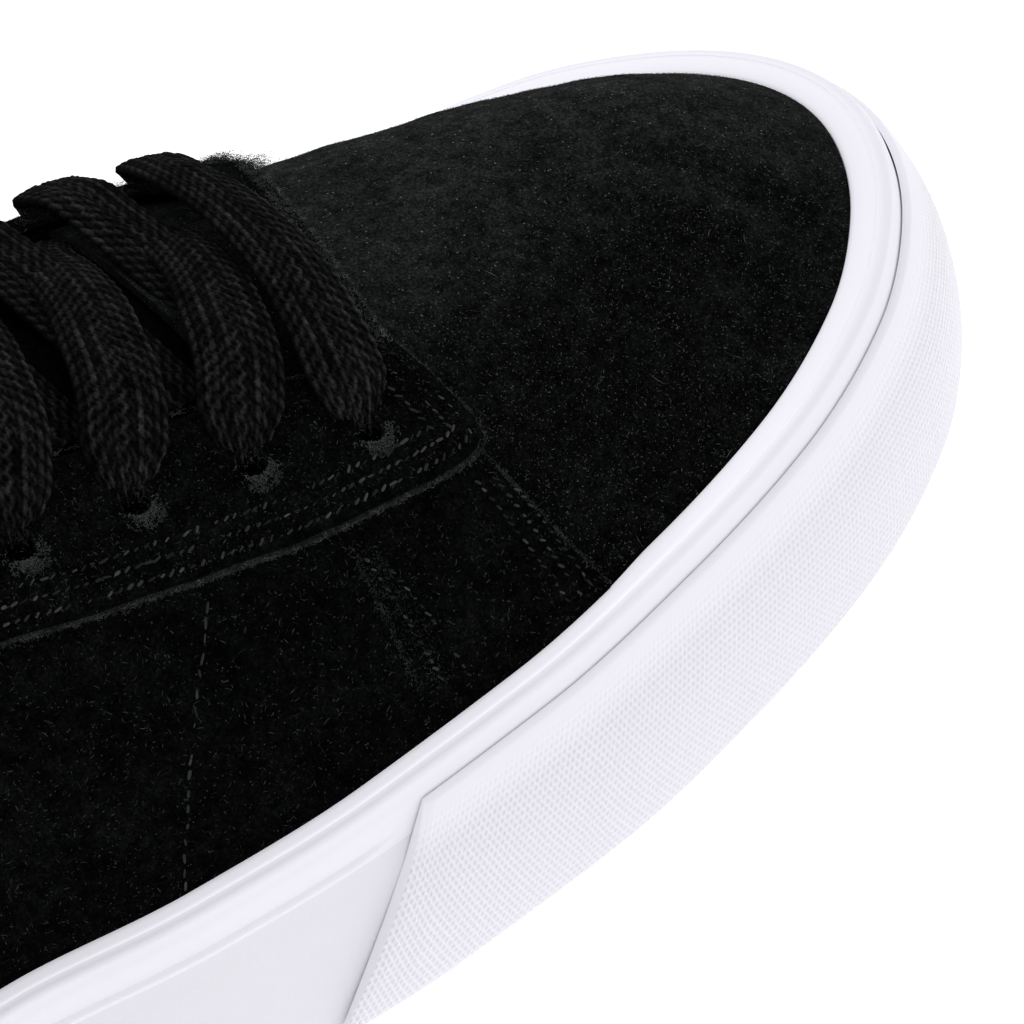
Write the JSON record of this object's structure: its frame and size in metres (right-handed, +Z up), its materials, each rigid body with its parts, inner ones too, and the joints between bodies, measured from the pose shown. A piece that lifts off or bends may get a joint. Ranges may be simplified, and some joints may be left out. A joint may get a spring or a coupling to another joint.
{
  "type": "skateboarding shoe",
  "caption": "Right low-cut lace-up skateboarding shoe: suede upper, flat lace, padded collar and tongue, rubber sidewall with a raised toe bumper.",
  "frame": {"origin": "on the floor under the heel, at the middle of the tread's flat heel spot", "axes": "+X towards the toe, +Y towards the inner side of the foot, +Z up"},
  "size_m": [0.3032, 0.1146, 0.1183],
  "materials": {
    "tread_rubber": "matt white rubber",
    "foxing_rubber": "smooth white rubber with a fine grain",
    "bumper_rubber": "white rubber with a fine diamond texture",
    "suede": "black suede",
    "tongue": "padded black textile",
    "insole": "black textile over foam",
    "lace": "flat black braid"
  },
  "bodies": {
    "root": {"outsole": "tread_rubber", "foxing": "foxing_rubber", "toe_bumper": "bumper_rubber", "insole": "insole", "upper": "suede", "eyestay": "suede", "tongue": "tongue", "lace_bar": "lace", "lace_crossing_1": "lace", "lace_crossing_2": "lace", "lace_crossing_3": "lace", "lace_crossing_4": "lace", "lace_crossing_5": "lace", "lace_crossing_6": "lace"}
  },
  "joints": []
}
